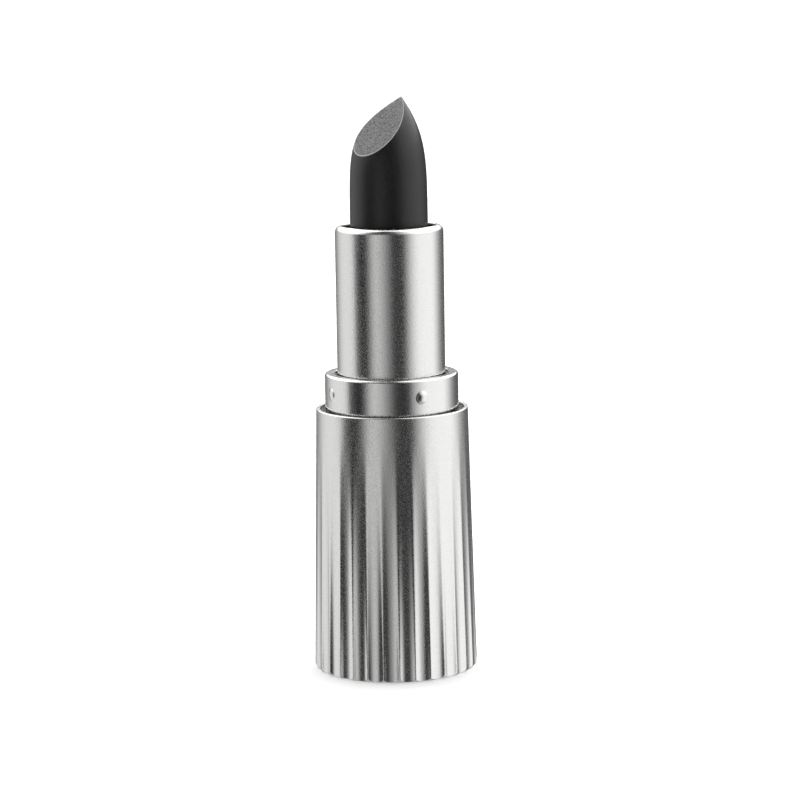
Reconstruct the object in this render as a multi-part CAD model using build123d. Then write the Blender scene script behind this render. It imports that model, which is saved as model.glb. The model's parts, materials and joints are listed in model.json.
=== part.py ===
from build123d import *
import os
from math import asin, cos, pi, radians, sin, sqrt

# Twist-up lipstick case: fluted aluminium base, collar ring, turning sleeve and a carrier with its bullet.
#
# Frame: millimetres, +Z up, origin at the centre of the foot. The case stands on Z = 0.
# The user looks along +Y. The bullet is modelled fully wound up, which is joint value 0.
#
# How it works: the base, the slotted tube and the collar are one unit. The spiral tube and the
# outer sleeve are a second unit, which turns round the slotted tube. The carrier cup has two lugs.
# Each lug passes through a straight slot of the slotted tube, which stops the cup from turning,
# and into a helical slot of the spiral tube, which drives it up and down.

# ---------------------------------------------------------------- driving dimensions
# Radial stack, from the bullet outwards
bullet_diameter = 12.1  # common lipstick mould size
bullet_gap = 0.02  # wax to cup wall
cup_wall = 0.63
cup_gap = 0.10  # cup to slotted tube, sliding
slotted_wall = 0.70
turning_gap = 0.05  # slotted tube to spiral tube, running fit
spiral_wall = 0.55
sleeve_wall = 0.35
collar_gap = 0.45  # sleeve to collar bore, seen as a dark ring
collar_land = 1.55  # the collar's flat top and rounding, from its bore to its outside
collar_wall = 0.50
rim_gap = 0.85  # collar to base shell bore, where a cap's liner drops in
rim_wall = 0.60
foot_flare = 1.00  # how far the foot's ridges stand outside the rim

# Heights
base_height = 41.2
collar_show = 5.5  # collar above the base rim
sleeve_show = 23.0  # sleeve above the collar
bullet_show = 19.7  # bullet tip above the sleeve, wound up
retract_depth = 1.3  # bullet tip below the sleeve mouth, wound down
turns = 1.5  # turns of the base for the whole travel

# Base shell
flute_count = 32
flute_depth = 0.31  # at the foot, below the circle that the ridges stand on
flute_start = 3.5  # plain band under the rim
flute_phase = 2.5  # degrees: the ridge just right of the front
foot_bevel_height = 0.60
foot_bevel_inset = 0.30
shell_floor = 0.90
rim_rounding = 0.15
label_recess = 0.30
foot_land = 3.25  # the ring that the case stands on, from the foot's bevel to the label's recess
label_thickness = 0.18
label_edge_gap = 0.15

# Inner base and weight
glue_gap = 0.05
rim_recess = 1.0  # inner base ledge below the rim
liner_gap = 0.25  # sleeve to inner base
web_thickness = 2.0  # floor under the slotted tube's shank
liner_wall_low = 1.75
void_step = 0.90  # ledge that holds the weight down
weight_height = 6.0
weight_side_gap = 0.10
weight_bevel = 0.40
adhesive_thickness = 0.20

# Collar
collar_rounding = 0.40
collar_bore_bevel = 0.20
bump_count = 4
bump_phase = 27.0  # degrees from the front towards +X
bump_radius = 1.05
bump_height = 0.20
bump_wall = 0.35

# Slotted tube
end_gap = 0.20  # tube end to the sleeve's lip
flange_thickness = 1.0
flange_gap = 0.05  # flange edge to the inner base
flange_end_gap = 0.10  # flange to the turning unit
flange_below_slots = 3.3
shank_length = 6.1
shank_floor = 1.5
shank_step = 1.6  # the bore narrows by this much below the cup's travel
floor_gap = 0.4  # cup to the tube's step, wound down
snap_height = 0.5
snap_reach = 0.25
snap_room = 0.10
snap_below_end = 1.20
shank_snap_rise = 2.6
ring_rise = 1.3  # torque ring centre above the flange
ring_section = 0.76  # silicone ring, section diameter
ring_groove_height = 0.90

# Carrier and lugs
cup_height = 11.0
cup_floor = 1.0
cup_below_end = 0.55  # cup rim below the slotted tube's end, wound up
cup_floor_hole_radius = 2.0
lug_count = 2
lug_diameter = 2.0
lug_gap = 0.10
lug_rise = 1.4
lug_end_gap = 0.10  # corners of the lug's flat tip to the sleeve
lug_azimuth = 90.0  # degrees from +X: the lugs lie front and back
rib_count = 4
rib_radius = 0.20
rib_end_gap = 1.0
rib_azimuth = 45.0

# Sleeve mouth
mouth_flat = 0.20  # from the sleeve's rounded shoulder to its mouth
sleeve_rounding = 0.95
lip_rounding = 0.12  # less than the flat that it is cut from

# Bullet nose: at a share t of its length its radius is bullet_radius * (1 - t ** nose_power),
# and its centre has moved tip_offset * t ** lean_power towards the tip
nose_length = 23.4
nose_power = 5.8
lean_power = 8.5
nose_shares = (0.4, 0.52, 0.62, 0.70, 0.77, 0.83, 0.88, 0.92, 0.96, 0.99)  # levels of the lofted rings
nose_start_share = 0.2  # below this the nose is as wide as the stick
tip_offset = 3.13  # tip to the bullet's axis
apex_above_cut = 0.05  # the mould's apex lies just above the cut
cut_tilt = 45.0  # degrees from level
cut_azimuth = 45.0  # degrees: the way the cut face climbs, from +X towards +Y

# ---------------------------------------------------------------- sizes that follow
bullet_radius = bullet_diameter / 2
cup_bore = bullet_radius + bullet_gap
cup_radius = cup_bore + cup_wall
slotted_bore = cup_radius + cup_gap
slotted_radius = slotted_bore + slotted_wall
shank_bore = slotted_bore - shank_step
spiral_bore = slotted_radius + turning_gap
spiral_radius = spiral_bore + spiral_wall
sleeve_radius = spiral_radius + sleeve_wall
mouth_radius = sleeve_radius - sleeve_rounding - mouth_flat
collar_bore = sleeve_radius + collar_gap
collar_radius = collar_bore + collar_land
shell_bore = collar_radius + rim_gap
rim_radius = shell_bore + rim_wall
foot_radius = rim_radius + foot_flare
recess_radius = foot_radius - foot_bevel_inset - foot_land
liner_radius = shell_bore - glue_gap
liner_bore = sleeve_radius + liner_gap
collar_inner_radius = collar_radius - collar_wall
neck_radius = collar_inner_radius - glue_gap
lug_radius = lug_diameter / 2
slot_width = lug_diameter + 2 * lug_gap

rim_z = base_height
collar_top_z = rim_z + collar_show
sleeve_top_z = collar_top_z + sleeve_show
tip_z = sleeve_top_z + bullet_show
lip_z = sleeve_top_z - sleeve_wall  # underside of the sleeve's lip
spiral_top_z = sleeve_top_z - sleeve_rounding  # the spiral tube ends where the sleeve starts to turn in
slotted_top_z = lip_z - end_gap
cup_rim_z = slotted_top_z - cup_below_end
cup_bottom_z = cup_rim_z - cup_height
lug_z = cup_bottom_z + lug_rise
travel = bullet_show + retract_depth
lead = travel / turns
lug_low_z = lug_z - travel
slot_bottom_z = lug_low_z - slot_width / 2
tube_step_z = cup_bottom_z - travel - floor_gap
flange_top_z = slot_bottom_z - flange_below_slots
flange_bottom_z = flange_top_z - flange_thickness
turning_bottom_z = flange_top_z + flange_end_gap
shank_bottom_z = flange_bottom_z - shank_length
ledge_z = rim_z - rim_recess
neck_top_z = collar_top_z - collar_wall
floor_z = label_recess + shell_floor
weight_bottom_z = floor_z + adhesive_thickness
weight_top_z = weight_bottom_z + weight_height
weight_room_radius = liner_radius - liner_wall_low
bump_z = rim_z + collar_show / 2
OVERSHOOT = 1.0  # how far a cutting body runs past what it cuts


def tube(outer, inner, low, high):
    """A plain tube between two heights."""
    return disc(outer, low, high) - disc(inner, low - OVERSHOOT, high + OVERSHOOT)


def disc(radius, low, high):
    """A plain cylinder between two heights."""
    return Pos(0, 0, low) * Cylinder(radius, high - low, align=(Align.CENTER, Align.CENTER, Align.MIN))


def around(shape, count, first=0.0):
    """Copies of a shape, evenly spaced round the axis."""
    return [Rot(0, 0, first + i * 360 / count) * shape for i in range(count)]


def circles(shape, z, radius=None):
    """The circular edges of a shape at one height, or only those of one radius."""
    found = [e for e in shape.edges().filter_by(GeomType.CIRCLE) if abs(e.center().Z - z) < 1e-4]
    return [e for e in found if radius is None or abs(e.radius - radius) < 1e-3]


# ---------------------------------------------------------------- base shell
def ridge_radius(z):
    """The ridges lie on a cone that widens from the rim to the foot."""
    return rim_radius + foot_flare * (rim_z - z) / rim_z


def flute_depth_at(z):
    """The flutes fade in below the plain band and deepen evenly down to the foot."""
    top = rim_z - flute_start
    return flute_depth * (top - z) / top


def fluted_outline(z, inset=0.0):
    """One closed cross-section: an arc for each flute, from ridge to ridge through its valley."""
    step = 360 / flute_count
    ridge = ridge_radius(z) - inset
    valley = ridge - flute_depth_at(z)
    front = -90 + flute_phase

    def at(radius, angle):
        return (radius * cos(radians(angle)), radius * sin(radians(angle)), z)

    arcs = [
        ThreePointArc(
            at(ridge, front + i * step),
            at(valley, front + (i + 0.5) * step),
            at(ridge, front + (i + 1) * step),
        )
        for i in range(flute_count)
    ]
    return Face(Wire(arcs))


def make_base_shell():
    """A cup with a round bore; its outside is fluted, with a bevel at the foot and a soft rim."""
    low = foot_bevel_height
    high = rim_z - flute_start
    body = loft([fluted_outline(low), fluted_outline(high)], ruled=True)
    foot = loft([fluted_outline(0, foot_bevel_inset), fluted_outline(low)], ruled=True)
    band = Pos(0, 0, (high + rim_z) / 2) * Cone(ridge_radius(high), rim_radius, rim_z - high)
    shell = body + foot + band
    shell -= disc(shell_bore, floor_z, rim_z + OVERSHOOT)
    shell -= disc(recess_radius, -OVERSHOOT, label_recess)
    return fillet(circles(shell, rim_z), min(rim_rounding, rim_wall * 0.45))


def make_shade_label():
    """A blank foil disc stuck in the recess under the foot."""
    return disc(recess_radius - label_edge_gap, label_recess - label_thickness, label_recess)


# ---------------------------------------------------------------- inside the base
def make_inner_base():
    """The moulded core: neck for the collar, seat for the slotted tube, pocket for the weight."""
    void_radius = weight_room_radius - void_step
    web_top_z = shank_bottom_z
    web_bottom_z = web_top_z - web_thickness
    core = disc(liner_radius, floor_z, ledge_z) + disc(neck_radius, ledge_z, neck_top_z)
    core -= disc(liner_bore, flange_bottom_z, neck_top_z + OVERSHOOT)
    core -= disc(slotted_radius, shank_bottom_z, flange_bottom_z + OVERSHOOT)
    core -= disc(weight_room_radius, floor_z - OVERSHOOT, weight_top_z)
    core -= disc(void_radius, weight_top_z - OVERSHOOT, web_bottom_z)
    snap_low_z = shank_bottom_z + shank_snap_rise - snap_room
    snap_high_z = shank_bottom_z + shank_snap_rise + snap_height + snap_room
    core -= disc(slotted_radius + snap_reach + snap_room, snap_low_z, snap_high_z)
    return core


def make_weight_adhesive():
    """A double-sided pad that holds the weight to the shell's floor."""
    return disc(weight_room_radius - weight_side_gap, floor_z, weight_bottom_z)


def make_base_weight():
    """A steel slug with bevelled edges, which gives the base its heft."""
    slug = disc(weight_room_radius - weight_side_gap, weight_bottom_z, weight_top_z)
    return chamfer(slug.edges().filter_by(GeomType.CIRCLE), weight_bevel)


# ---------------------------------------------------------------- collar
def make_collar():
    """A drawn cap ring over the neck: flat top, bevelled bore and four pressed bumps that grip a cap."""
    ring = tube(collar_radius, collar_inner_radius, ledge_z, neck_top_z)
    ring += tube(collar_radius, collar_bore, neck_top_z, collar_top_z)
    ring = fillet(circles(ring, collar_top_z, collar_radius), min(collar_rounding, collar_wall * 0.9))
    ring = chamfer(circles(ring, collar_top_z, collar_bore), collar_bore_bevel)
    ball = (bump_radius**2 + bump_height**2) / (2 * bump_height)
    centre = Pos(0, ball - collar_radius - bump_height, bump_z)
    middle = disc(collar_radius - collar_wall / 2, bump_z - ball, bump_z + ball)
    bore = disc(collar_inner_radius, bump_z - ball, bump_z + ball)
    for bump in around(centre * Sphere(ball) - middle, bump_count, bump_phase):
        ring += bump
    for hollow in around(centre * Sphere(ball - bump_wall) - bore, bump_count, bump_phase):
        ring -= hollow
    return ring


# ---------------------------------------------------------------- slotted tube and torque ring
def make_slotted_tube():
    """The fixed tube: two straight slots, a flange, a grooved seat for the ring and a snap-in shank."""
    body = disc(slotted_radius, shank_bottom_z, slotted_top_z)
    body += disc(liner_bore - flange_gap, flange_bottom_z, flange_top_z)
    snap_z = slotted_top_z - snap_below_end - snap_height
    body += disc(slotted_radius + snap_reach, snap_z, snap_z + snap_height)
    shank_snap_z = shank_bottom_z + shank_snap_rise
    body += disc(slotted_radius + snap_reach, shank_snap_z, shank_snap_z + snap_height)
    body -= disc(slotted_bore, tube_step_z, slotted_top_z + OVERSHOOT)
    body -= disc(shank_bore, shank_bottom_z + shank_floor, tube_step_z + OVERSHOOT)
    ring_z = flange_top_z + ring_rise
    body -= tube(
        slotted_radius + OVERSHOOT,
        slotted_radius - ring_section,
        ring_z - ring_groove_height / 2,
        ring_z + ring_groove_height / 2,
    )
    slot = radial_slot(lug_low_z, lug_z, slotted_bore - OVERSHOOT, slotted_radius + OVERSHOOT)
    for cut in around(slot, lug_count, lug_azimuth):
        body -= cut
    return body


def radial_slot(low, high, inner, outer):
    """A round-ended slot along +X from one radius to another, as wide as a lug needs."""
    reach = outer - inner
    middle = (inner + outer) / 2
    bar = Pos(middle, 0, (low + high) / 2) * Box(reach, slot_width, high - low)
    end = Rot(0, 90, 0) * Cylinder(slot_width / 2, reach)
    return bar + Pos(middle, 0, low) * end + Pos(middle, 0, high) * end


def make_torque_ring():
    """A silicone ring in the slotted tube's groove; its drag keeps the twist where it is left."""
    middle = slotted_radius - ring_section / 2 + turning_gap / 2
    return Pos(0, 0, flange_top_z + ring_rise) * Torus(middle, ring_section / 2)


# ---------------------------------------------------------------- turning unit
def helical_slot():
    """One helical slot, one lug wide: a bar swept along a right-hand helix, with round ends."""
    middle = (spiral_bore + spiral_radius) / 2
    depth = 2 * spiral_wall
    path = Helix(pitch=lead, height=travel, radius=middle)
    section = Plane(origin=path @ 0, x_dir=(1, 0, 0), z_dir=path % 0) * Rectangle(depth, slot_width)
    bar = sweep(section, path=path, is_frenet=True)
    end = Pos(middle, 0, 0) * (Rot(0, 90, 0) * Cylinder(slot_width / 2, depth))
    slot = bar + end + Pos(0, 0, travel) * Rot(0, 0, turns * 360) * end
    return Pos(0, 0, lug_low_z) * Rot(0, 0, lug_azimuth - turns * 360) * slot


def make_spiral_tube():
    """The drive tube: two helical slots and an inner groove that snaps over the slotted tube."""
    body = tube(spiral_radius, spiral_bore, turning_bottom_z, spiral_top_z)
    snap_z = slotted_top_z - snap_below_end - snap_height
    body -= disc(slotted_radius + snap_reach + snap_room, snap_z - snap_room, snap_z + snap_height + snap_room)
    for cut in around(helical_slot(), lug_count):
        body -= cut
    return body


def make_outer_sleeve():
    """The drawn sleeve pressed over the spiral tube, with a rounded shoulder and a turned-in lip."""
    outer = disc(sleeve_radius, turning_bottom_z, sleeve_top_z)
    outer = fillet(circles(outer, sleeve_top_z), sleeve_rounding)
    inner = disc(spiral_radius, turning_bottom_z - OVERSHOOT, lip_z)
    inner = fillet(circles(inner, lip_z), sleeve_rounding - sleeve_wall)
    shell = outer - inner - disc(mouth_radius, lip_z - OVERSHOOT, sleeve_top_z + OVERSHOOT)
    return fillet(circles(shell, sleeve_top_z, mouth_radius), lip_rounding)


# ---------------------------------------------------------------- carrier and bullet
def cup_ribs():
    """Half-round ribs inside the cup that key the wax."""
    length = cup_height - cup_floor - rib_end_gap
    rib = Pos(cup_bore, 0, cup_bottom_z + cup_floor + length / 2) * Cylinder(rib_radius, length)
    return around(rib, rib_count, rib_azimuth)


def make_carrier_cup():
    """The cup that holds the bullet, with a vent in its floor and a lug front and back."""
    cup = disc(cup_radius, cup_bottom_z, cup_rim_z)
    cup -= disc(cup_bore, cup_bottom_z + cup_floor, cup_rim_z + OVERSHOOT)
    cup -= disc(cup_floor_hole_radius, cup_bottom_z - OVERSHOOT, cup_rim_z)
    root = cup_radius - cup_wall / 2
    tip = sqrt((spiral_radius - lug_end_gap) ** 2 - lug_radius**2)
    lug = Pos((root + tip) / 2, 0, lug_z) * (Rot(0, 90, 0) * Cylinder(lug_radius, tip - root))
    for piece in around(lug, lug_count, lug_azimuth) + cup_ribs():
        cup += piece
    return cup


def nose_ring(share):
    """The nose's outline at this share of its length: a circle that shrinks as it leans towards the tip."""
    lean = tip_offset * share**lean_power
    radius = bullet_radius * (1 - share**nose_power)
    height = tip_z + apex_above_cut - nose_length * (1 - share)
    centre = (lean * cos(radians(cut_azimuth)), lean * sin(radians(cut_azimuth)), height)
    return Pos(*centre) * Circle(radius)


def make_lipstick_bullet():
    """The wax bullet: a round stick with a leaning pointed nose, cut by one slanting plane to its tip."""
    low_z = cup_bottom_z + cup_floor
    start_z = tip_z + apex_above_cut - nose_length * (1 - nose_start_share)
    toward = (cos(radians(cut_azimuth)), sin(radians(cut_azimuth)))
    apex = Vertex(tip_offset * toward[0], tip_offset * toward[1], tip_z + apex_above_cut)
    rings = [Pos(0, 0, start_z) * Circle(bullet_radius)] + [nose_ring(share) for share in nose_shares]
    stick = disc(bullet_radius, low_z, start_z) + loft(rings + [apex])
    size = 4 * bullet_diameter  # large enough to hold everything above the cut
    block = Pos(0, 0, size / 2) * Box(size, size, size)
    tip = (tip_offset * toward[0], tip_offset * toward[1], tip_z)
    stick -= Pos(*tip) * Rot(0, 0, cut_azimuth) * Rot(0, -cut_tilt, 0) * block
    for rib in cup_ribs():
        stick -= rib
    return stick


# ---------------------------------------------------------------- write one STEP per piece
PIECES = {
    "base_shell": make_base_shell,
    "shade_label": make_shade_label,
    "inner_base": make_inner_base,
    "weight_adhesive": make_weight_adhesive,
    "base_weight": make_base_weight,
    "collar": make_collar,
    "slotted_tube": make_slotted_tube,
    "torque_ring": make_torque_ring,
    "spiral_tube": make_spiral_tube,
    "outer_sleeve": make_outer_sleeve,
    "carrier_cup": make_carrier_cup,
    "lipstick_bullet": make_lipstick_bullet,
}

os.makedirs("parts", exist_ok=True)
for name, make in PIECES.items():
    piece = make()
    export_step(piece, f"parts/{name}.step")
    print(name, "volume", round(piece.volume, 1), "box", piece.bounding_box().size)
print("travel", travel, "lead", lead, "twist ratio m/rad", -lead / 1000 / (2 * pi))
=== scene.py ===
# %% [markdown]
# # A twist-up lipstick case, finished for looks
#
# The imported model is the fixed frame: it holds every piece at its real size and place, and it
# says which body each piece moves with. This notebook gives the pieces their looks. The pieces
# that show, which are the fluted base, the collar, the sleeve and the bullet, are built again as
# fine, smooth surfaces. The hidden ones keep their shape and get a finish.

# %% Load the frame
import json
import math

import bmesh
import bpy
import numpy as np
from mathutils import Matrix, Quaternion, Vector


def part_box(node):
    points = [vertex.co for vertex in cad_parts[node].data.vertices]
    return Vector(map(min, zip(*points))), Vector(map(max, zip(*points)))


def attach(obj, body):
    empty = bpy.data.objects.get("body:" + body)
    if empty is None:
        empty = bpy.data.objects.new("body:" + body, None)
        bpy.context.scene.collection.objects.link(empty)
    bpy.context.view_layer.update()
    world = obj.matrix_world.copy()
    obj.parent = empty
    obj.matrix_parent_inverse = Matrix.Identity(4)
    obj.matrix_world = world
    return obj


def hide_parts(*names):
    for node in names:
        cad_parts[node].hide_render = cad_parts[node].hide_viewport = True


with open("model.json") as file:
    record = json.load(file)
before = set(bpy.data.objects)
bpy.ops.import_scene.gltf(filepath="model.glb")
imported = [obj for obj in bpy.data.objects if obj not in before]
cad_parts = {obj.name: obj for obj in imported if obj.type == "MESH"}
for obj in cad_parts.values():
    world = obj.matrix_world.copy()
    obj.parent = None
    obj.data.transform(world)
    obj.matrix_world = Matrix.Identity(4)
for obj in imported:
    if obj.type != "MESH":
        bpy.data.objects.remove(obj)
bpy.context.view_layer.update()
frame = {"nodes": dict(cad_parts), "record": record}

MM = 0.001

# %% [markdown]
# ## Sizes
#
# A turned or drawn part is known by a few radii and heights. They are read from the frame's own
# boxes, in millimetres, so that each new surface lies where its CAD piece lies. Only what a box
# can't tell, such as a wall, a rounding or the depth of a flute, is named further down, in
# millimetres too.


# %% Sizes read from the frame
def span(node):
    """A piece's outer radius, lowest height and highest height, in millimetres."""
    low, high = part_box(node)
    return (high.x - low.x) / 2 / MM, low.z / MM, high.z / MM


SLEEVE_RADIUS, SLEEVE_BOTTOM, SLEEVE_TOP = span("outer_sleeve")
COLLAR_RADIUS, COLLAR_BOTTOM, COLLAR_TOP = span("collar")
BULLET_RADIUS, BULLET_BOTTOM, BULLET_TIP = span("lipstick_bullet")
SPIRAL_RADIUS = span("spiral_tube")[0]
LINER_RADIUS = span("inner_base")[0]
RIM_TOP = span("base_shell")[2]
CUP_TOP = span("carrier_cup")[2]
print("sleeve", SLEEVE_RADIUS, "collar", COLLAR_RADIUS, "bullet", BULLET_RADIUS, "rim height", RIM_TOP)

# %% [markdown]
# ## From a function of two parameters to a mesh
#
# Every piece here is a stack of rings. One parameter runs round the axis, the other runs along
# the outline, and numpy works out all the points at once as an array of rows and columns. The
# outline either starts and ends on the axis, like a cup or a stick, or comes back to where it
# started, like a tube. Both give a closed skin with its faces pointing out.


# %% The ring-stack mesh
def ring_faces(rows, columns):
    """Quads of a grid whose columns close on themselves: (row, column) to the next row and column."""
    row, column = np.meshgrid(np.arange(rows - 1), np.arange(columns), indexing="ij")
    after = (column + 1) % columns
    corners = (row * columns + column, row * columns + after)
    corners += ((row + 1) * columns + after, (row + 1) * columns + column)
    return np.stack(corners, axis=-1).reshape(-1, 4)


def skin(name, grid, loop=False):
    """An object from grid[row, column] = point in millimetres.

    With loop, the last row joins the first, as in a tube. Without it, the first and last rows lie
    on the axis, and each becomes one point with a fan of triangles round it.
    """
    rows, columns, _ = grid.shape
    if loop:
        points = grid.reshape(-1, 3)
        faces = ring_faces(rows + 1, columns) % (rows * columns)
        faces = faces.tolist()
    else:
        points = np.vstack([grid[1:-1].reshape(-1, 3), grid[0, :1], grid[-1, :1]])
        last = (rows - 3) * columns
        bottom, top = len(points) - 2, len(points) - 1
        here = np.arange(columns)
        after = (here + 1) % columns
        fan_low = np.stack([np.full(columns, bottom), after, here], axis=1)
        fan_high = np.stack([last + here, last + after, np.full(columns, top)], axis=1)
        faces = ring_faces(rows - 2, columns).tolist() + fan_low.tolist() + fan_high.tolist()
    mesh = bpy.data.meshes.new(name)
    mesh.from_pydata(points * MM, [], faces)
    mesh.shade_smooth()
    mesh.set_sharp_from_angle(angle=math.radians(50))
    piece = bpy.data.objects.new(name, mesh)
    bpy.context.scene.collection.objects.link(piece)
    print(name, "faces", len(mesh.polygons))
    return piece


# %% [markdown]
# ## Outlines
#
# A lathe operator thinks in straight runs and radii, and so does this code: an outline is a list
# of straight runs and arcs in the (radius, height) half-plane. Arcs carry enough points to look
# round when the highlight slides over them.


# %% Straight runs, arcs and a full turn
def run(start, end, steps=1):
    """Points of a straight run, its end left out: start + (end - start) * i / steps."""
    share = np.arange(steps)[:, None] / steps
    return np.array(start) + (np.array(end) - np.array(start)) * share


def arc(centre, radius, first, last, steps=8):
    """Points of an arc, both ends in: centre + radius * (cos, sin), at evenly spaced degrees."""
    angle = np.radians(np.linspace(first, last, steps + 1))
    return np.array(centre) + radius * np.stack([np.cos(angle), np.sin(angle)], axis=1)


def turn(radii, heights, angles):
    """A grid of points: radius * cos(angle), radius * sin(angle), height."""
    radii, heights, angles = np.broadcast_arrays(radii, heights, angles)
    return np.stack([radii * np.cos(angles), radii * np.sin(angles), heights], axis=-1)


def lathe(outline, columns):
    """The grid of a plain turned piece from its (radius, height) outline."""
    angles = np.linspace(0, 2 * np.pi, columns, endpoint=False)
    return turn(outline[:, :1], outline[:, 1:], angles[None, :])


print("a quarter arc:", arc((0, 0), 1, 0, 90, steps=2).round(3).tolist())

# %% [markdown]
# ## The fluted base
#
# The real base is an aluminium shell that is drawn, pressed into a fluted die and anodised. Its
# ridges lie on a cone that widens by a millimetre towards the foot. Between two ridges the wall
# is hollow, deepest at the foot, and it fades to a plain round band under the rim. Cutting
# thirty-two grooves with booleans would leave ragged shading. One formula for the radius gives
# the same shape with clean ridges, soft under the rim and crisp at the foot. The columns crowd
# together at the ridges, where the section turns.

# %% The flute section
FLUTES = 32
FLUTE_PHASE = math.radians(2.5 - 90)
FLUTE_DEPTH = 0.30
FLUTE_START = 3.5
FLUTE_GROWTH = 1.05
FLUTE_POWER = 2.6
RIDGE_SOFTNESS_AT_FOOT = 0.09
RIDGE_SOFTNESS_AT_TOP = 0.60
COLUMNS_PER_FLUTE = 14
RIDGE_CROWDING = 0.8

column = np.arange(FLUTES * COLUMNS_PER_FLUTE) / COLUMNS_PER_FLUTE
place = column % 1.0
place = place - RIDGE_CROWDING * np.sin(2 * np.pi * place) / (2 * np.pi)
base_angles = FLUTE_PHASE + (np.floor(column) + place) * 2 * np.pi / FLUTES


def flute_hollow(share, pitch, softness):
    """How hollow the section is, from 0 on a ridge to 1 in a valley.

    share runs 0 to 1 from ridge to ridge. The distance d to the nearer ridge is softened to
    sqrt(d^2 + w^2) - w, which rounds the ridge, and the hollow is 1 - (1 - 2 d / pitch)^n. A large
    softness w gives a gentle wave, and a small one gives hollows that meet in a crisp ridge. With
    n above 2 the floor of a hollow is broad and the sides are narrow and steep.
    """
    half = 0.5 * pitch
    distance = np.minimum(share, 1 - share) * pitch
    soft = np.sqrt(distance**2 + softness**2) - softness
    soft = soft * half / (np.sqrt(half**2 + softness**2) - softness)
    # In the middle of a hollow, rounding may put the bracket just below 0, which has no such power.
    return 1 - np.clip(1 - soft / half, 0, 1) ** FLUTE_POWER


print("flutes", FLUTES, "columns", len(base_angles))

# %% [markdown]
# The outside wall is the lower of two surfaces: the flutes, and a round shape with a rounded
# bottom edge, which stands for the turned foot. A soft minimum joins them without a kink.

# %% The fluted wall
GLUE_GAP = 0.05
SHELL_BORE = LINER_RADIUS + GLUE_GAP
RIM_WALL = 0.60
RIM_ROUNDING = 0.16
RIM_RADIUS = SHELL_BORE + RIM_WALL
FOOT_FLARE = 1.0
FOOT_ROUND_HEIGHT = 0.62
FOOT_ROUND_WIDTH = 0.40
BLEND = 0.02


def ridge_radius(height):
    """The cone that the ridges lie on: rim radius + flare * the share of the way down."""
    return RIM_RADIUS + FOOT_FLARE * (RIM_TOP - height) / RIM_TOP


def foot_round(height):
    """How far the turned foot edge stands inside the ridges: w (1 - sqrt(1 - (1 - z/h)^2))."""
    below = np.clip(1 - height / FOOT_ROUND_HEIGHT, 0, 1)
    return FOOT_ROUND_WIDTH * (1 - np.sqrt(1 - below**2))


def soft_minimum(first, second):
    """The lower of two surfaces, its corner rounded: (a + b - sqrt((a - b)^2 + k^2)) / 2."""
    return (first + second - np.sqrt((first - second) ** 2 + BLEND**2)) / 2


def outer_radius(height):
    """The wall's radius at a column of heights.

    The ridge cone, less depth * s^growth * hollow, where s is the share of the way down from where
    the flutes start. In the lowest part, the foot's round edge cuts it off.
    """
    ridge = ridge_radius(height)
    pitch = 2 * np.pi * RIM_RADIUS / FLUTES
    start = RIM_TOP - FLUTE_START
    down = np.clip((start - height) / start, 0, 1)
    softness = RIDGE_SOFTNESS_AT_TOP + (RIDGE_SOFTNESS_AT_FOOT - RIDGE_SOFTNESS_AT_TOP) * down
    hollow = flute_hollow(place[None, :], pitch, softness)
    fluted = ridge - FLUTE_DEPTH * down**FLUTE_GROWTH * hollow
    turned = soft_minimum(fluted, ridge - foot_round(height))
    return np.where(height > FOOT_ROUND_HEIGHT, fluted, turned)


FOOT_ROWS = 12
WALL_ROWS = 60
foot_heights = FOOT_ROUND_HEIGHT * (1 - np.cos(np.linspace(0, np.pi / 2, FOOT_ROWS)))
wall_heights = np.linspace(FOOT_ROUND_HEIGHT, RIM_TOP - RIM_ROUNDING, WALL_ROWS)[1:]
wall_heights = np.concatenate([foot_heights, wall_heights])[:, None]
wall_radii = outer_radius(wall_heights)
wall = turn(wall_radii, wall_heights, base_angles[None, :])
print("wall radius", wall_radii.min().round(3), "to", wall_radii.max().round(3), "mm")

# %% [markdown]
# The rest of the shell is plain: a shallow recess under the foot for the label, a rounded rim
# and a straight bore down to a thin floor. The bore can't be seen past the collar, but a shell
# with a real wall looks right from every side and closes the skin.

# %% The base shell
SHELL_FLOOR = 1.20
RECESS_RADIUS = 9.35
RECESS_HEIGHT = 0.30
RECESS_EDGE = 0.06
BORE_EDGE = 0.06

under = np.vstack([
    run((0, RECESS_HEIGHT), (RECESS_RADIUS, RECESS_HEIGHT), 4),
    arc((RECESS_RADIUS + RECESS_EDGE, RECESS_EDGE), RECESS_EDGE, 180, 270, 4),
    run((RECESS_RADIUS + 0.5, 0), (RECESS_RADIUS + 3, 0), 3),
])
rim_centre = (RIM_RADIUS - RIM_ROUNDING, RIM_TOP - RIM_ROUNDING)
bore_centre = (SHELL_BORE + BORE_EDGE, RIM_TOP - BORE_EDGE)
inside = np.vstack([
    arc(rim_centre, RIM_ROUNDING, 12, 90, 6),
    arc(bore_centre, BORE_EDGE, 90, 180, 4),
    run((SHELL_BORE, RIM_TOP - 2), (SHELL_BORE, SHELL_FLOOR), 6),
    run((SHELL_BORE, SHELL_FLOOR), (0, SHELL_FLOOR), 4),
    [(0, SHELL_FLOOR)],
])
shell_grid = np.concatenate([
    turn(under[:, :1], under[:, 1:], base_angles[None, :]),
    wall,
    turn(inside[:, :1], inside[:, 1:], base_angles[None, :]),
])
fluted_base = skin("fluted_base", shell_grid)

# %% [markdown]
# ## The collar
#
# The collar is a drawn aluminium ring. A cap's liner clicks over four small round bumps pressed
# out from inside. Each bump is a cap of a ball, added to the wall's radius, so the ring and its
# bumps are one smooth skin and catch the light as pressed metal does.

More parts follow.
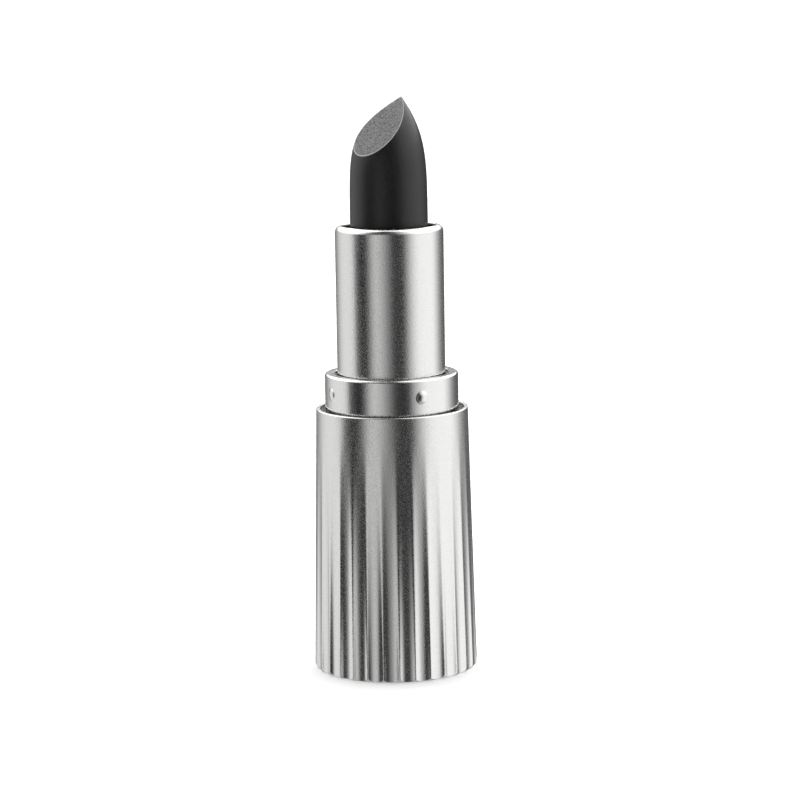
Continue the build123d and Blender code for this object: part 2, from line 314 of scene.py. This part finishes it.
# %% The collar
COLLAR_WALL = 0.50
COLLAR_BORE = COLLAR_RADIUS - 1.55
COLLAR_ROUNDING = 0.38
BORE_ROUNDING = 0.07
BUMPS = 4
BUMP_PHASE = math.radians(27 - 90)
BUMP_RADIUS = 1.05
BUMP_HEIGHT = 0.26
BUMP_EDGE = 0.05
BUMP_CENTRE = (RIM_TOP + COLLAR_TOP) / 2
COLLAR_COLUMNS = 720


def bump(height, angles):
    """How far the wall stands out: the ball's cap sqrt(R^2 - d^2) - (R - h), softened at its edge.

    d is the distance to the nearest bump's centre, along the wall.
    """
    ball = (BUMP_RADIUS**2 + BUMP_HEIGHT**2) / (2 * BUMP_HEIGHT)
    spacing = 2 * np.pi / BUMPS
    away = (angles - BUMP_PHASE + spacing / 2) % spacing - spacing / 2
    distance = np.hypot(away * COLLAR_RADIUS, height - BUMP_CENTRE)
    cap = np.sqrt(np.maximum(ball**2 - distance**2, 0)) - (ball - BUMP_HEIGHT)
    softness = BUMP_EDGE * BUMP_HEIGHT
    return (cap + np.sqrt(cap**2 + softness**2)) / 2 - (softness**2 / 4) / BUMP_HEIGHT


collar_inner = COLLAR_RADIUS - COLLAR_WALL
neck_top = COLLAR_TOP - COLLAR_WALL
collar_path = np.vstack([
    run((COLLAR_RADIUS, COLLAR_BOTTOM), (COLLAR_RADIUS, COLLAR_TOP - COLLAR_ROUNDING), 56),
    arc((COLLAR_RADIUS - COLLAR_ROUNDING, COLLAR_TOP - COLLAR_ROUNDING), COLLAR_ROUNDING, 0, 90, 8),
    arc((COLLAR_BORE + BORE_ROUNDING, COLLAR_TOP - BORE_ROUNDING), BORE_ROUNDING, 90, 180, 6),
    run((COLLAR_BORE, neck_top), (collar_inner, neck_top), 2),
    run((collar_inner, neck_top), (collar_inner, COLLAR_BOTTOM), 4),
    [(collar_inner, COLLAR_BOTTOM)],
])
collar_angles = np.linspace(0, 2 * np.pi, COLLAR_COLUMNS, endpoint=False)[None, :]
outside = collar_path[:, :1] >= COLLAR_RADIUS
stand = np.where(outside, bump(collar_path[:, 1:], collar_angles), 0)
stand = np.clip(stand, 0, None)
collar_grid = turn(collar_path[:, :1] + stand, collar_path[:, 1:], collar_angles)
collar_ring = skin("collar_ring", collar_grid, loop=True)
print("bumps stand", stand.max().round(3), "mm proud")

# %% [markdown]
# ## The outer sleeve
#
# The sleeve is a thin aluminium tube whose mouth is turned in over the plastic tubes. Two arcs
# make the mouth: a wide shoulder outside, and a tight lip round the hole. The outline runs back
# down the inside, one wall's thickness away.

# %% The outer sleeve
SHOULDER = 0.95
MOUTH_FLAT = 0.20
LIP = 0.12
SLEEVE_WALL = SLEEVE_RADIUS - SPIRAL_RADIUS
SLEEVE_COLUMNS = 256

mouth = SLEEVE_RADIUS - SHOULDER - MOUTH_FLAT
bend = SHOULDER - SLEEVE_WALL
shoulder_centre = (SLEEVE_RADIUS - SHOULDER, SLEEVE_TOP - SHOULDER)
sleeve_path = np.vstack([
    run((SLEEVE_RADIUS, SLEEVE_BOTTOM), (SLEEVE_RADIUS, SLEEVE_TOP - SHOULDER), 24),
    arc(shoulder_centre, SHOULDER, 0, 90, 16),
    arc((mouth + LIP, SLEEVE_TOP - LIP), LIP, 90, 180, 6),
    run((mouth, SLEEVE_TOP - SLEEVE_WALL), shoulder_centre + np.array((0, bend)), 1),
    arc(shoulder_centre, bend, 90, 0, 8),
    run((SPIRAL_RADIUS, SLEEVE_TOP - 2), (SPIRAL_RADIUS, SLEEVE_BOTTOM), 6),
    [(SPIRAL_RADIUS, SLEEVE_BOTTOM)],
])
sleeve_shell = skin("sleeve_shell", lathe(sleeve_path, SLEEVE_COLUMNS), loop=True)
print("mouth radius", round(mouth, 3))

# %% [markdown]
# ## The bullet
#
# The bullet is cast in a two-part mould: a round stick whose nose leans to a point, cut by one
# plane at 45 degrees. At every height the nose is a circle. It shrinks slowly, then fast, while
# its centre moves over to the tip, and two powers of the height say how. Each column climbs the
# side until it meets the plane, then crosses the cut face to its middle. That meeting height has
# no tidy formula, so a few halvings of the interval find it for all columns at once.

# %% The bullet's side and its cut
NOSE_LENGTH = 23.4
NOSE_POWER = 5.8
LEAN_POWER = 8.5
TIP_OFFSET = 3.13
APEX_ABOVE_CUT = 0.05
CUT_TILT = math.radians(45)
CUT_AZIMUTH = math.radians(45)
BULLET_COLUMNS = 288
HALVINGS = 40
BOX_SLACK = 0.013

cut_tip = BULLET_TIP - BOX_SLACK
toward_tip = np.array((math.cos(CUT_AZIMUTH), math.sin(CUT_AZIMUTH), 0.0))


def on_side(heights, angles):
    """Points of the bullet's side.

    t is the share of the nose's length climbed, p the nose's power and q the lean's. The radius is
    R (1 - t^p), and the centre has moved the tip's offset times t^q towards the tip.
    """
    share = 1 - (cut_tip + APEX_ABOVE_CUT - heights) / NOSE_LENGTH
    share = np.clip(share, 0, 1)
    radius = BULLET_RADIUS * (1 - share**NOSE_POWER)
    lean = (TIP_OFFSET * share**LEAN_POWER)[..., None] * toward_tip
    return turn(radius, heights, angles) + lean


def above_cut(points):
    """How far points stand above the cut plane: z - tip height - tan(tilt) (along - tip offset)."""
    along = points @ toward_tip
    return points[..., 2] - cut_tip - math.tan(CUT_TILT) * (along - TIP_OFFSET)


def cut_heights(angles):
    """Where each column meets the plane, by halving."""
    low = np.full_like(angles, cut_tip - NOSE_LENGTH)
    high = np.full_like(angles, cut_tip + APEX_ABOVE_CUT)
    for _ in range(HALVINGS):
        middle = (low + high) / 2
        under_plane = above_cut(on_side(middle, angles)) < 0
        low = np.where(under_plane, middle, low)
        high = np.where(under_plane, high, middle)
    return low


bullet_angles = np.linspace(0, 2 * np.pi, BULLET_COLUMNS, endpoint=False) + CUT_AZIMUTH
edge_height = cut_heights(bullet_angles)
print("cut from", edge_height.min().round(2), "to", edge_height.max().round(2), "mm")

# %% [markdown]
# The columns gather into one grid: a foot that stays clear of the cup's ribs, the side, the
# rounded edge, and the cut face. The edge is a quadratic Bezier curve, whose outer points lie a
# rounding's length down the side and across the face, with the true corner as its handle. The
# knife leaves the face torn. Two attributes on the points, named rim and face, tell the finish
# where each one is: the rim gets a pale painted highlight, and the face a lighter colour that is
# partly its grain and partly painted sheen.

# %% The bullet as one skin
EDGE_ROUNDING = 0.10
RIM_WIDTH = 0.05
STICK_FOOT = 0.25
FOOT_BELOW_CUP_RIM = 1.0
SIDE_ROWS = 72
EDGE_ROWS = 5
FACE_ROWS = 14

corner = on_side(edge_height, bullet_angles)
start_edge = on_side(edge_height - EDGE_ROUNDING, bullet_angles)
face_middle = (corner[0] + corner[BULLET_COLUMNS // 2]) / 2
inward = face_middle - corner
inward /= np.linalg.norm(inward, axis=1, keepdims=True)
end_edge = corner + inward * EDGE_ROUNDING

rise = np.linspace(0, 1, SIDE_ROWS)[:, None]
side_low = CUP_TOP - FOOT_BELOW_CUP_RIM
side = on_side(side_low + (edge_height - EDGE_ROUNDING - side_low) * rise, bullet_angles[None, :])
t = np.linspace(0, 1, EDGE_ROWS + 2)[1:, None, None]
edge = (1 - t) ** 2 * start_edge + 2 * t * (1 - t) * corner + t**2 * end_edge
shrink = (1 - np.linspace(0, 1, FACE_ROWS))[:, None, None]
face = face_middle + (end_edge + inward * RIM_WIDTH - face_middle) * shrink
stick_radius = BULLET_RADIUS - STICK_FOOT
foot_path = np.vstack([
    run((0, BULLET_BOTTOM), (stick_radius, BULLET_BOTTOM), 3),
    run((stick_radius, BULLET_BOTTOM), (stick_radius, side_low - STICK_FOOT), 4),
])
foot = turn(foot_path[:, :1], foot_path[:, 1:], bullet_angles[None, :])
bullet_grid = np.concatenate([foot, side, edge, face])
bullet = skin("bullet", bullet_grid)

# %% The rim and face attributes
def mark(piece, name, row_values, columns):
    """Gives every point of a capped ring stack its row's value, as a point attribute."""
    values = np.repeat(row_values[1:-1], columns)
    values = np.concatenate([values, row_values[:1], row_values[-1:]])
    attribute = piece.data.attributes.new(name, "FLOAT", "POINT")
    attribute.data.foreach_set("value", values.astype(np.float32))


row = np.arange(len(bullet_grid))
first_edge = len(foot) + len(side)
first_face = first_edge + len(edge)
# The rim rows carry the painted highlight, and the face rows carry the painted sheen with the grain.
mark(bullet, "rim", ((row >= first_edge) & (row < first_face)).astype(float), BULLET_COLUMNS)
mark(bullet, "face", (row >= first_face).astype(float), BULLET_COLUMNS)
print("rows", len(row), "edge from", first_edge, "face from", first_face)

# %% [markdown]
# ## The moulded pieces inside
#
# The inner base, the slotted tube, the spiral tube and the cup are injection moulded. Their true
# shapes are already in the frame, but as loose triangles, which shade as flat facets. A merged
# copy with smooth shading, and sharp edges where the shape has them, shows the same moulding as
# it is.


# %% Merged copies of the mouldings
MERGE_DISTANCE = 1e-6
CREASE_ANGLE = math.radians(28)


def merged_copy(node, name):
    """A copy of a CAD piece with its loose triangles joined and its curved walls shaded smooth."""
    mesh = frame["nodes"][node].data.copy()
    mesh.name = name
    copy = bpy.data.objects.new(name, mesh)
    bpy.context.scene.collection.objects.link(copy)
    if mesh.has_custom_normals:
        mesh.attributes.remove(mesh.attributes["custom_normal"])
    work = bmesh.new()
    work.from_mesh(mesh)
    bmesh.ops.remove_doubles(work, verts=work.verts, dist=MERGE_DISTANCE)
    work.to_mesh(mesh)
    work.free()
    mesh.shade_smooth()
    mesh.set_sharp_from_angle(angle=CREASE_ANGLE)
    print(name, "faces", len(mesh.polygons))
    return copy


MOULDINGS = {
    "inner_base": "core_moulding",
    "slotted_tube": "slotted_moulding",
    "spiral_tube": "spiral_moulding",
    "carrier_cup": "cup_moulding",
}
mouldings = {node: merged_copy(node, name) for node, name in MOULDINGS.items()}

# %% [markdown]
# ## Colours and nodes
#
# Colours are written as the eye knows them, in sRGB, and one function turns them into the linear
# values that a renderer needs. One more function adds any shader node with its settings and
# links, so a material reads as a short list.


# %% Colour and node helpers
def linear(code):
    """An sRGB hex colour as linear RGBA: c / 12.92 near black, else ((c + 0.055) / 1.055) ^ 2.4."""
    channel = np.array([int(code[i : i + 2], 16) for i in (1, 3, 5)]) / 255
    value = np.where(channel <= 0.04045, channel / 12.92, ((channel + 0.055) / 1.055) ** 2.4)
    return (*value.tolist(), 1.0)


def add(tree, kind, inputs=None, **settings):
    """Adds a node. Each input is a value, or another node's output to link."""
    node = tree.nodes.new(kind)
    for key, value in settings.items():
        setattr(node, key, value)
    for key, value in (inputs or {}).items():
        if isinstance(value, bpy.types.NodeSocket):
            tree.links.new(value, node.inputs[key])
        else:
            node.inputs[key].default_value = value
    return node


def new_material(name):
    """An empty node material with its output, and the object coordinates that its pattern follows."""
    material = bpy.data.materials.new(name)
    material.use_nodes = True
    material.node_tree.nodes.clear()
    output = add(material.node_tree, "ShaderNodeOutputMaterial")
    coordinates = add(material.node_tree, "ShaderNodeTexCoord").outputs["Object"]
    return material, material.node_tree, output, coordinates


def per_metre(millimetres):
    """A noise scale whose features are this size, for object coordinates in metres."""
    return 1 / (millimetres * MM)


print("mid grey is", round(linear("#808080")[0], 3), "linear")

# %% [markdown]
# ## Anodised aluminium
#
# The shells are bead blasted, then anodised in natural silver. Blasting leaves dimples a few
# hundredths of a millimetre across, which spread reflections into soft bands with a sparkle of
# grain. The dimples are too fine to show here, so they are drawn about 0.22 mm wide. A dimple
# scatters more than the land beside it, so the grain goes into the roughness first, and only a
# little into the bump and the tone. The bands then sparkle where light and dark meet, and an
# evenly lit wall stays even. The collar is blasted more finely, so its bands have harder edges.

# %% Bead-blasted anodised aluminium
GRAIN = 0.22
CLOUD = 5.0


def anodised_aluminium(name, smooth, dimpled, height_mm):
    """Metal with fine dimples. smooth and dimpled are the roughness of the land and of a dimple."""
    material, tree, output, coordinates = new_material(name)
    grain = add(tree, "ShaderNodeTexNoise",
                {"Vector": coordinates, "Scale": per_metre(GRAIN), "Detail": 1.0, "Roughness": 0.5})
    cloud = add(tree, "ShaderNodeTexNoise",
                {"Vector": coordinates, "Scale": per_metre(CLOUD), "Detail": 3.0})
    bump_node = add(tree, "ShaderNodeBump",
                    {"Height": grain.outputs["Fac"], "Distance": height_mm * MM, "Strength": 1.0})
    speck = add(tree, "ShaderNodeMapRange",
                {"Value": grain.outputs["Fac"], "From Min": 0.32, "From Max": 0.68})
    blasted = add(tree, "ShaderNodeMapRange",
                  {"Value": speck.outputs["Result"], "To Min": smooth, "To Max": dimpled})
    handled = add(tree, "ShaderNodeMapRange",
                  {"Value": cloud.outputs["Fac"], "From Min": 0.3, "From Max": 0.7,
                   "To Min": -0.012, "To Max": 0.012})
    roughness = add(tree, "ShaderNodeMath",
                    {0: blasted.outputs["Result"], 1: handled.outputs["Result"]}, operation="ADD")
    tone = add(tree, "ShaderNodeMix",
               {"Factor": speck.outputs["Result"], "A": linear("#d6d6d5"), "B": linear("#d1d1d0")},
               data_type="RGBA")
    shader = add(tree, "ShaderNodeBsdfPrincipled",
                 {"Base Color": tone.outputs["Result"], "Metallic": 1.0,
                  "Roughness": roughness.outputs["Value"], "Normal": bump_node.outputs["Normal"]})
    tree.links.new(shader.outputs["BSDF"], output.inputs["Surface"])
    return material


ALUMINIUM = anodised_aluminium(
    "bead_blasted_anodised_aluminium", smooth=0.14, dimpled=0.28, height_mm=0.010)
FINE_ALUMINIUM = anodised_aluminium(
    "finely_blasted_anodised_aluminium", smooth=0.09, dimpled=0.22, height_mm=0.008)
print("made", ALUMINIUM.name, FINE_ALUMINIUM.name)

# %% [markdown]
# ## Moulded black wax
#
# The bullet is pigmented wax: nearly black, with a soft satin skin from the mould. The cut face
# is torn by the knife, so it is rougher; its colour is painted a lighter grey, partly its grain
# and partly painted sheen for the light it catches from above. Its rim is painted paler still, a
# painted highlight. The bullet's own attributes tell the three apart. The wax grain is drawn at
# 0.32 mm, coarser than life, so that it shows.

# %% Wax with a torn cut face, painted sheen and a painted rim highlight
WAX_GRAIN = 0.32
WAX_GRAIN_HEIGHT = 0.008


def black_wax():
    """Moulded wax, with a rougher cut face painted greyer, partly grain and partly painted sheen, and a
    painted highlight on the rim.
    """
    material, tree, output, coordinates = new_material("moulded_black_wax")
    on_face = add(tree, "ShaderNodeAttribute", attribute_name="face").outputs["Fac"]
    painted_highlight_rim = add(tree, "ShaderNodeAttribute", attribute_name="rim").outputs["Fac"]
    grain = add(tree, "ShaderNodeTexNoise",
                {"Vector": coordinates, "Scale": per_metre(WAX_GRAIN), "Detail": 3.0, "Roughness": 0.7})
    bloom = add(tree, "ShaderNodeMapRange",
                {"Value": grain.outputs["Fac"], "From Min": 0.38, "From Max": 0.62})
    # Painted sheen: the cut face's colour is a lighter grey than the side's, partly its grain and partly
    # light from above painted in.
    face_grain_and_painted_sheen = add(tree, "ShaderNodeMix",
                  {"Factor": bloom.outputs["Result"], "A": linear("#3c3c3c"), "B": linear("#7a7a7a")},
                  data_type="RGBA")
    moulded = add(tree, "ShaderNodeMix",
                  {"Factor": bloom.outputs["Result"], "A": linear("#0b0b0b"), "B": linear("#161616")},
                  data_type="RGBA")
    body = add(tree, "ShaderNodeMix",
               {"Factor": on_face, "A": moulded.outputs["Result"], "B": face_grain_and_painted_sheen.outputs["Result"]},
               data_type="RGBA")
    # Painted highlight: the rim is given a flat pale grey that stands for light caught on the rounded
    # edge.
    tone = add(tree, "ShaderNodeMix",
               {"Factor": painted_highlight_rim, "A": body.outputs["Result"], "B": linear("#969696")},
               data_type="RGBA")
    roughness = add(tree, "ShaderNodeMapRange", {"Value": on_face, "To Min": 0.38, "To Max": 0.65})
    bump_node = add(tree, "ShaderNodeBump",
                    {"Height": grain.outputs["Fac"], "Distance": WAX_GRAIN_HEIGHT * MM, "Strength": 1.0})
    shader = add(tree, "ShaderNodeBsdfPrincipled",
                 {"Base Color": tone.outputs["Result"], "IOR": 1.45,
                  "Roughness": roughness.outputs["Result"], "Normal": bump_node.outputs["Normal"]})
    tree.links.new(shader.outputs["BSDF"], output.inputs["Surface"])
    return material


WAX = black_wax()
print("made", WAX.name)

# %% [markdown]
# ## The hidden finishes
#
# The mouldings are black acetal from a spark-eroded mould, whose fine texture gives a dull black
# with a soft shine. The weight is turned steel, zinc plated, which looks like grey, slightly
# hazy metal. Its foam pad is open and chalky, so it is rough all over. The torque ring is
# moulded silicone, a grey with a waxy gloss. The label is matt silver foil. Each is one fine
# noise in the colour and the bump, so one function makes all five from their own sizes.


# %% Moulded, turned and stamped finishes
def grained(name, dark, light, grain_mm, height_mm, **shader_inputs):
    """A finish whose colour and bump follow one noise. shader_inputs are the shader's constants."""
    material, tree, output, coordinates = new_material(name)
    grain = add(tree, "ShaderNodeTexNoise",
                {"Vector": coordinates, "Scale": per_metre(grain_mm), "Detail": 3.0})
    tone = add(tree, "ShaderNodeMix",
               {"Factor": grain.outputs["Fac"], "A": linear(dark), "B": linear(light)},
               data_type="RGBA")
    bump_node = add(tree, "ShaderNodeBump",
                    {"Height": grain.outputs["Fac"], "Distance": height_mm * MM, "Strength": 1.0})
    constants = {key.replace("_", " "): value for key, value in shader_inputs.items()}
    shader = add(tree, "ShaderNodeBsdfPrincipled",
                 {"Base Color": tone.outputs["Result"], "Normal": bump_node.outputs["Normal"],
                  **constants})
    tree.links.new(shader.outputs["BSDF"], output.inputs["Surface"])
    return material


ACETAL = grained(
    "spark_textured_black_acetal", "#0c0c0c", "#171717", 0.3, 0.004, Roughness=0.42, IOR=1.48)
STEEL = grained(
    "zinc_plated_turned_steel", "#8f9193", "#b4b6b8", 0.6, 0.002, Roughness=0.34, Metallic=1.0)
FOAM = grained(
    "double_sided_foam_pad", "#d5d2c8", "#e6e3da", 0.4, 0.02, Roughness=0.85, IOR=1.45)
SILICONE = grained(
    "moulded_silicone", "#6c6c6a", "#7a7a78", 0.8, 0.003, Roughness=0.5, IOR=1.41)
FOIL = grained(
    "matt_silver_label_foil", "#c2c2c0", "#d0d0ce", 0.5, 0.001, Roughness=0.45, IOR=1.5)
print("made", ACETAL.name, STEEL.name, FOAM.name, SILICONE.name, FOIL.name)

# %% [markdown]
# ## Ride, replace and paint
#
# Each new piece says which body it moves with, which CAD piece it stands for and which finish it
# wears. The hidden CAD pieces ride already, so they only need their finish.


# %% Fit the pieces to the frame
def fit(piece, body, node, material):
    """Rides the body, stands for the CAD piece, and wears the finish."""
    piece.data.materials.clear()
    piece.data.materials.append(material)
    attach(piece, body)
    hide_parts(node)


fit(fluted_base, "base", "base_shell", ALUMINIUM)
fit(collar_ring, "base", "collar", FINE_ALUMINIUM)
fit(sleeve_shell, "sleeve", "outer_sleeve", ALUMINIUM)
fit(bullet, "carrier", "lipstick_bullet", WAX)

bodies = frame["record"]["behaviour"]["bodies"]
body_of_node = {node: body for body, nodes in bodies.items() for node in nodes}
for node, piece in mouldings.items():
    fit(piece, body_of_node[node], node, ACETAL)

HIDDEN_FINISHES = {
    "base_weight": STEEL,
    "weight_adhesive": FOAM,
    "torque_ring": SILICONE,
    "shade_label": FOIL,
}
for node, material in HIDDEN_FINISHES.items():
    mesh = frame["nodes"][node].data
    mesh.materials.clear()
    mesh.materials.append(material)
print("pieces fitted", 4 + len(mouldings), "carried over", len(HIDDEN_FINISHES))

# %% [markdown]
# ## The studio
#
# Metal shows what stands round it, so a metal product is lit with large panels: a white one to
# the right, a grey one to the left, narrow dark gaps between. The light above comes from the
# sides and the back, and a dark flag over the front keeps the rounded edges crisp. Here the
# panels are bands of the world's light, chosen by compass direction from the front, so they lie
# the same way for every view and add no noise. The floor is pale and plain. Reflections pass
# through it, as if the panels went on below, which keeps the bands unbroken down to the foot.

# %% The panels as a world
PANELS = [
    (-180, 0.20), (-160, 0.26), (-148, 0.38), (-134, 0.78), (-120, 1.02), (-100, 1.06), (-86, 0.98),
    (-76, 0.16), (-66, 0.05), (-56, 0.02), (-48, 0.14), (-38, 0.60), (-30, 0.80), (-18, 0.62),
    (-6, 0.32), (6, 0.07), (20, 0.035), (30, 0.08), (41, 0.60), (52, 1.04), (63, 1.30), (102, 1.36),
    (114, 0.95), (126, 0.46), (140, 0.18), (156, 0.12), (180, 0.20),
]
CEILING = [
    (-180, 2.90), (-110, 2.30), (-72, 1.60), (-50, 0.25), (-30, 0.08), (14, 0.08), (36, 0.80),
    (56, 1.70), (120, 2.40), (180, 2.90),
]
BELOW = 0.60
TOP_LEVEL = 4.0
LIGHTS_START, LIGHTS_FULL = 0.14, 0.36
BELOW_FULL, BELOW_END = -0.75, -0.45


def by_compass(tree, share, levels):
    """A ramp over the whole turn from levels of (degrees from the front, brightness)."""
    ramp = add(tree, "ShaderNodeValToRGB", {"Fac": share})
    stops = ramp.color_ramp.elements
    for degrees, _ in levels[1:-1]:
        stops.new((degrees + 180) / 360)
    for stop, (_, level) in zip(stops, levels):
        stop.color = (level / TOP_LEVEL, level / TOP_LEVEL, level / TOP_LEVEL, 1)
    return ramp.outputs["Color"]


def blend_between(tree, height, start, end, lower, upper):
    """Fades from one light to another as the direction's height goes from start to end."""
    share = add(tree, "ShaderNodeMapRange", {"Value": height, "From Min": start, "From Max": end},
                interpolation_type="SMOOTHSTEP")
    mix = add(tree, "ShaderNodeMix", {"Factor": share.outputs["Result"], "A": lower, "B": upper},
              data_type="RGBA")
    return mix.outputs["Result"]


def studio_world():
    """Panels near the horizon, lights above them, and a pale table light from straight below."""
    world = bpy.data.worlds.new("studio")
    world.use_nodes = True
    tree = world.node_tree
    tree.nodes.clear()
    direction = add(tree, "ShaderNodeTexCoord").outputs["Generated"]
    parts = add(tree, "ShaderNodeSeparateXYZ", {"Vector": direction}).outputs
    forward = add(tree, "ShaderNodeMath", {0: parts["Y"], 1: -1.0}, operation="MULTIPLY")
    compass = add(tree, "ShaderNodeMath", {0: parts["X"], 1: forward.outputs["Value"]},
                  operation="ARCTAN2")
    share = add(tree, "ShaderNodeMapRange",
                {"Value": compass.outputs["Value"], "From Min": -math.pi, "From Max": math.pi})
    walls = by_compass(tree, share.outputs["Result"], PANELS)
    lights = by_compass(tree, share.outputs["Result"], CEILING)
    below = (BELOW / TOP_LEVEL, BELOW / TOP_LEVEL, BELOW / TOP_LEVEL, 1)
    colour = blend_between(tree, parts["Z"], LIGHTS_START, LIGHTS_FULL, walls, lights)
    colour = blend_between(tree, parts["Z"], BELOW_FULL, BELOW_END, below, colour)
    light = add(tree, "ShaderNodeBackground", {"Color": colour, "Strength": TOP_LEVEL})
    output = add(tree, "ShaderNodeOutputWorld")
    tree.links.new(light.outputs["Background"], output.inputs["Surface"])
    return world


bpy.context.scene.world = studio_world()
bpy.context.scene.world.cycles.sampling_method = "NONE"
bpy.context.scene.view_settings.view_transform = "Standard"
print("panels", len(PANELS), "ceiling stops", len(CEILING))

# %% [markdown]
# The floor is a large pale disc that ends in a plain lit wall far outside the object, so that
# every view has a clean background.

# %% Floor and wall
FLOOR_RADIUS = 2.5
FLOOR_PATH = [(0.0001, 0), (0.05, 0), (0.3, 0), (FLOOR_RADIUS, 0)]
WALL_HEIGHT = 2.0
WALL_PATH = [(FLOOR_RADIUS, 0), (FLOOR_RADIUS, WALL_HEIGHT)]
FLOOR_COLUMNS = 96


def stage_sheet(name, outline, material):
    """An open turned sheet for the stage, in metres, from its (radius, height) outline."""
    grid = lathe(np.array(outline) / MM, FLOOR_COLUMNS)
    faces = ring_faces(len(outline), FLOOR_COLUMNS)
    mesh = bpy.data.meshes.new(name)
    mesh.from_pydata(grid.reshape(-1, 3) * MM, [], faces.tolist())
    mesh.materials.append(material)
    sheet = bpy.data.objects.new(name, mesh)
    bpy.context.scene.collection.objects.link(sheet)
    return sheet


def floor_paint():
    """Matt white paint with a trace of mottle."""
    material, tree, output, coordinates = new_material("matt_white_floor_paint")
    mottle = add(tree, "ShaderNodeTexNoise", {"Vector": coordinates, "Scale": per_metre(300)})
    tone = add(tree, "ShaderNodeMix",
               {"Factor": mottle.outputs["Fac"], "A": linear("#f8f8f8"), "B": linear("#fafafa")},
               data_type="RGBA")
    shader = add(tree, "ShaderNodeBsdfDiffuse", {"Color": tone.outputs["Result"]})
    tree.links.new(shader.outputs["BSDF"], output.inputs["Surface"])
    return material


def wall_light():
    """An evenly lit wall."""
    material, tree, output, _ = new_material("evenly_lit_wall")
    shader = add(tree, "ShaderNodeEmission", {"Color": linear("#ffffff"), "Strength": 1.05})
    tree.links.new(shader.outputs["Emission"], output.inputs["Surface"])
    return material


floor = stage_sheet("floor", FLOOR_PATH, floor_paint())
floor.visible_glossy = False
wall_sheet = stage_sheet("far_wall", WALL_PATH, wall_light())
wall_sheet.visible_diffuse = False
wall_sheet.visible_glossy = False
wall_sheet.visible_shadow = False
print("floor radius", FLOOR_RADIUS, "m")

# %% [markdown]
# ## The camera
#
# A long lens a little above the object, level with its middle, keeps the tubes nearly parallel
# and opens the rim, the collar and the foot into shallow ellipses. The case leans a trace to the
# left in the frame, so the camera is rolled by that much.

# %% The camera
LENS = 112.5
DISTANCE = 0.392
ELEVATION = math.radians(8.9)
ROLL = math.radians(-0.92)
TARGET = np.array((0.00127, 0.0, 0.0422))


def place_camera():
    """Stands the camera DISTANCE from TARGET, looks at it, and rolls about the line of sight."""
    data = bpy.data.cameras.new("camera")
    data.lens = LENS
    data.clip_start = 0.01
    camera = bpy.data.objects.new("camera", data)
    bpy.context.scene.collection.objects.link(camera)
    back = np.array((0, -math.cos(ELEVATION), math.sin(ELEVATION)))
    camera.location = TARGET + DISTANCE * back
    aim = Vector((-back).tolist()).to_track_quat("-Z", "Y")
    camera.rotation_euler = (aim @ Quaternion((0, 0, 1), ROLL)).to_euler()
    bpy.context.scene.camera = camera
    return camera


camera = place_camera()
print("camera at", [round(v, 4) for v in camera.location])
